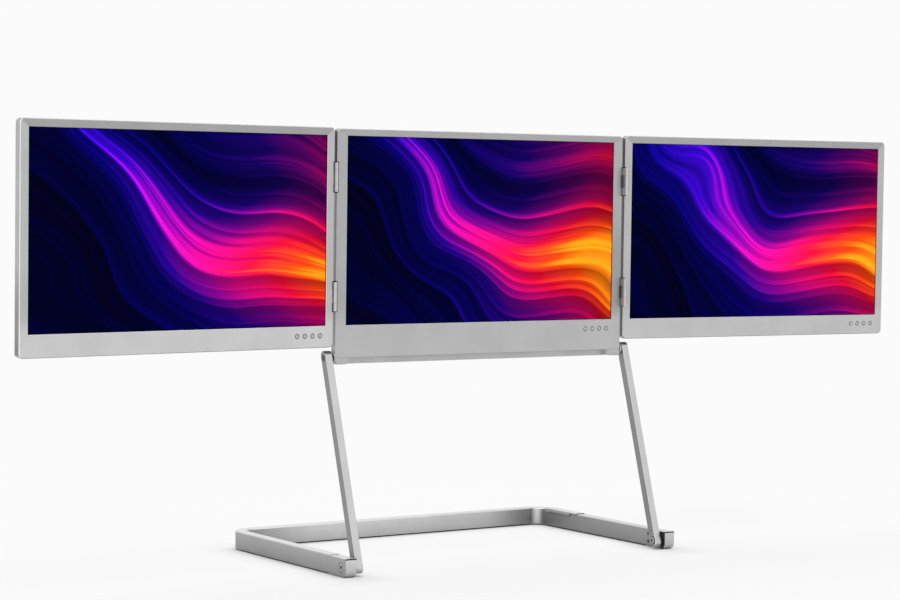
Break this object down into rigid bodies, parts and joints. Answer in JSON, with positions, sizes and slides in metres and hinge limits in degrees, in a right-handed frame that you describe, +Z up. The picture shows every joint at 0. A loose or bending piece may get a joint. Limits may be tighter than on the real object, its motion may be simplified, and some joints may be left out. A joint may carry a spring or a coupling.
{
  "type": "laptop screen extender",
  "caption": "Stand with a U-shaped base and two folding arms that hold a tilting screen above a laptop, with a hinged screen on each side.",
  "frame": {"origin": "on the desk, in the middle of the base", "axes": "+X to the viewer's right, +Y to the back, +Z up"},
  "size_m": [1.1038, 0.246, 0.453],
  "materials": {
    "bar_metal": "brushed along the bars",
    "case_metal": "fine satin, bright bevelled edges",
    "cover_metal": "fine satin",
    "pin_steel": "turned",
    "hinge_steel": "polished barrels",
    "washer_nylon": "plain",
    "foot_rubber": "matt",
    "display_glass": "lit picture",
    "tray_plastic": "plain",
    "board_green": "solder mask",
    "socket_steel": "plain",
    "speaker_plastic": "plain",
    "button_metal": "satin"
  },
  "bodies": {
    "base": {"base_frame": "bar_metal", "hinge_block_left": "bar_metal", "hinge_block_right": "bar_metal", "catch_strip_left": "bar_metal", "catch_strip_right": "bar_metal", "fold_pins": "pin_steel", "fold_washers": "washer_nylon", "base_screws": "pin_steel", "block_bumpers": "foot_rubber", "foot_pad_left": "foot_rubber", "foot_pad_right": "foot_rubber", "foot_pad_rear": "foot_rubber"},
    "uprights": {"arm_left": "bar_metal", "arm_right": "bar_metal", "tilt_pins": "pin_steel", "tilt_washers": "washer_nylon"},
    "center_screen": {"bottom_rail": "case_metal", "tilt_bracket_left": "case_metal", "tilt_bracket_right": "case_metal", "center_hinges_left": "hinge_steel", "center_hinges_right": "hinge_steel", "wing_hinge_pins": "pin_steel", "center_frame": "case_metal", "center_rear_cover": "cover_metal", "center_display": "display_glass", "center_backlight_tray": "tray_plastic", "center_control_board": "board_green", "center_sockets": "socket_steel", "center_speakers": "speaker_plastic"},
    "left_screen": {"left_hinge_leaves": "hinge_steel", "left_frame": "case_metal", "left_rear_cover": "cover_metal", "left_display": "display_glass", "left_backlight_tray": "tray_plastic", "left_control_board": "board_green", "left_sockets": "socket_steel", "left_speakers": "speaker_plastic"},
    "right_screen": {"right_hinge_leaves": "hinge_steel", "right_frame": "case_metal", "right_rear_cover": "cover_metal", "right_display": "display_glass", "right_backlight_tray": "tray_plastic", "right_control_board": "board_green", "right_sockets": "socket_steel", "right_speakers": "speaker_plastic"},
    "center_button_1_key": {"center_button_1": "button_metal"},
    "center_button_2_key": {"center_button_2": "button_metal"},
    "center_button_3_key": {"center_button_3": "button_metal"},
    "center_button_4_key": {"center_button_4": "button_metal"},
    "left_button_1_key": {"left_button_1": "button_metal"},
    "left_button_2_key": {"left_button_2": "button_metal"},
    "left_button_3_key": {"left_button_3": "button_metal"},
    "left_button_4_key": {"left_button_4": "button_metal"},
    "right_button_1_key": {"right_button_1": "button_metal"},
    "right_button_2_key": {"right_button_2": "button_metal"},
    "right_button_3_key": {"right_button_3": "button_metal"},
    "right_button_4_key": {"right_button_4": "button_metal"}
  },
  "joints": [
    {"name": "arms_fold", "type": "hinge", "parent": "base", "child": "uprights", "pos_m": [0, -0.1139, 0.01], "axis": [1, 0, 0], "range_deg": [-60, 17]},
    {"name": "screen_tilt", "type": "hinge", "parent": "uprights", "child": "center_screen", "pos_m": [0, -0.05075, 0.21656], "axis": [1, 0, 0], "range_deg": [-30, 100]},
    {"name": "left_wing_swing", "type": "hinge", "parent": "center_screen", "child": "left_screen", "pos_m": [-0.1866, -0.0555, 0.34], "axis": [0, 0, 1], "range_deg": [-10, 175]},
    {"name": "right_wing_swing", "type": "hinge", "parent": "center_screen", "child": "right_screen", "pos_m": [0.1866, -0.06025, 0.34], "axis": [0, 0, -1], "range_deg": [-10, 175]},
    {"name": "center_button_1_press", "type": "slide", "parent": "center_screen", "child": "center_button_1_key", "axis": [0, 1, 0], "range_m": [0, 0.0004], "stiffness_N_per_m": 1500, "springref_m": -0.0004},
    {"name": "center_button_2_press", "type": "slide", "parent": "center_screen", "child": "center_button_2_key", "axis": [0, 1, 0], "range_m": [0, 0.0004], "stiffness_N_per_m": 1500, "springref_m": -0.0004},
    {"name": "center_button_3_press", "type": "slide", "parent": "center_screen", "child": "center_button_3_key", "axis": [0, 1, 0], "range_m": [0, 0.0004], "stiffness_N_per_m": 1500, "springref_m": -0.0004},
    {"name": "center_button_4_press", "type": "slide", "parent": "center_screen", "child": "center_button_4_key", "axis": [0, 1, 0], "range_m": [0, 0.0004], "stiffness_N_per_m": 1500, "springref_m": -0.0004},
    {"name": "left_button_1_press", "type": "slide", "parent": "left_screen", "child": "left_button_1_key", "axis": [-0.0872, 0.9962, 0], "range_m": [0, 0.0004], "stiffness_N_per_m": 1500, "springref_m": -0.0004},
    {"name": "left_button_2_press", "type": "slide", "parent": "left_screen", "child": "left_button_2_key", "axis": [-0.0872, 0.9962, 0], "range_m": [0, 0.0004], "stiffness_N_per_m": 1500, "springref_m": -0.0004},
    {"name": "left_button_3_press", "type": "slide", "parent": "left_screen", "child": "left_button_3_key", "axis": [-0.0872, 0.9962, 0], "range_m": [0, 0.0004], "stiffness_N_per_m": 1500, "springref_m": -0.0004},
    {"name": "left_button_4_press", "type": "slide", "parent": "left_screen", "child": "left_button_4_key", "axis": [-0.0872, 0.9962, 0], "range_m": [0, 0.0004], "stiffness_N_per_m": 1500, "springref_m": -0.0004},
    {"name": "right_button_1_press", "type": "slide", "parent": "right_screen", "child": "right_button_1_key", "axis": [0.0872, 0.9962, 0], "range_m": [0, 0.0004], "stiffness_N_per_m": 1500, "springref_m": -0.0004},
    {"name": "right_button_2_press", "type": "slide", "parent": "right_screen", "child": "right_button_2_key", "axis": [0.0872, 0.9962, 0], "range_m": [0, 0.0004], "stiffness_N_per_m": 1500, "springref_m": -0.0004},
    {"name": "right_button_3_press", "type": "slide", "parent": "right_screen", "child": "right_button_3_key", "axis": [0.0872, 0.9962, 0], "range_m": [0, 0.0004], "stiffness_N_per_m": 1500, "springref_m": -0.0004},
    {"name": "right_button_4_press", "type": "slide", "parent": "right_screen", "child": "right_button_4_key", "axis": [0.0872, 0.9962, 0], "range_m": [0, 0.0004], "stiffness_N_per_m": 1500, "springref_m": -0.0004}
  ]
}
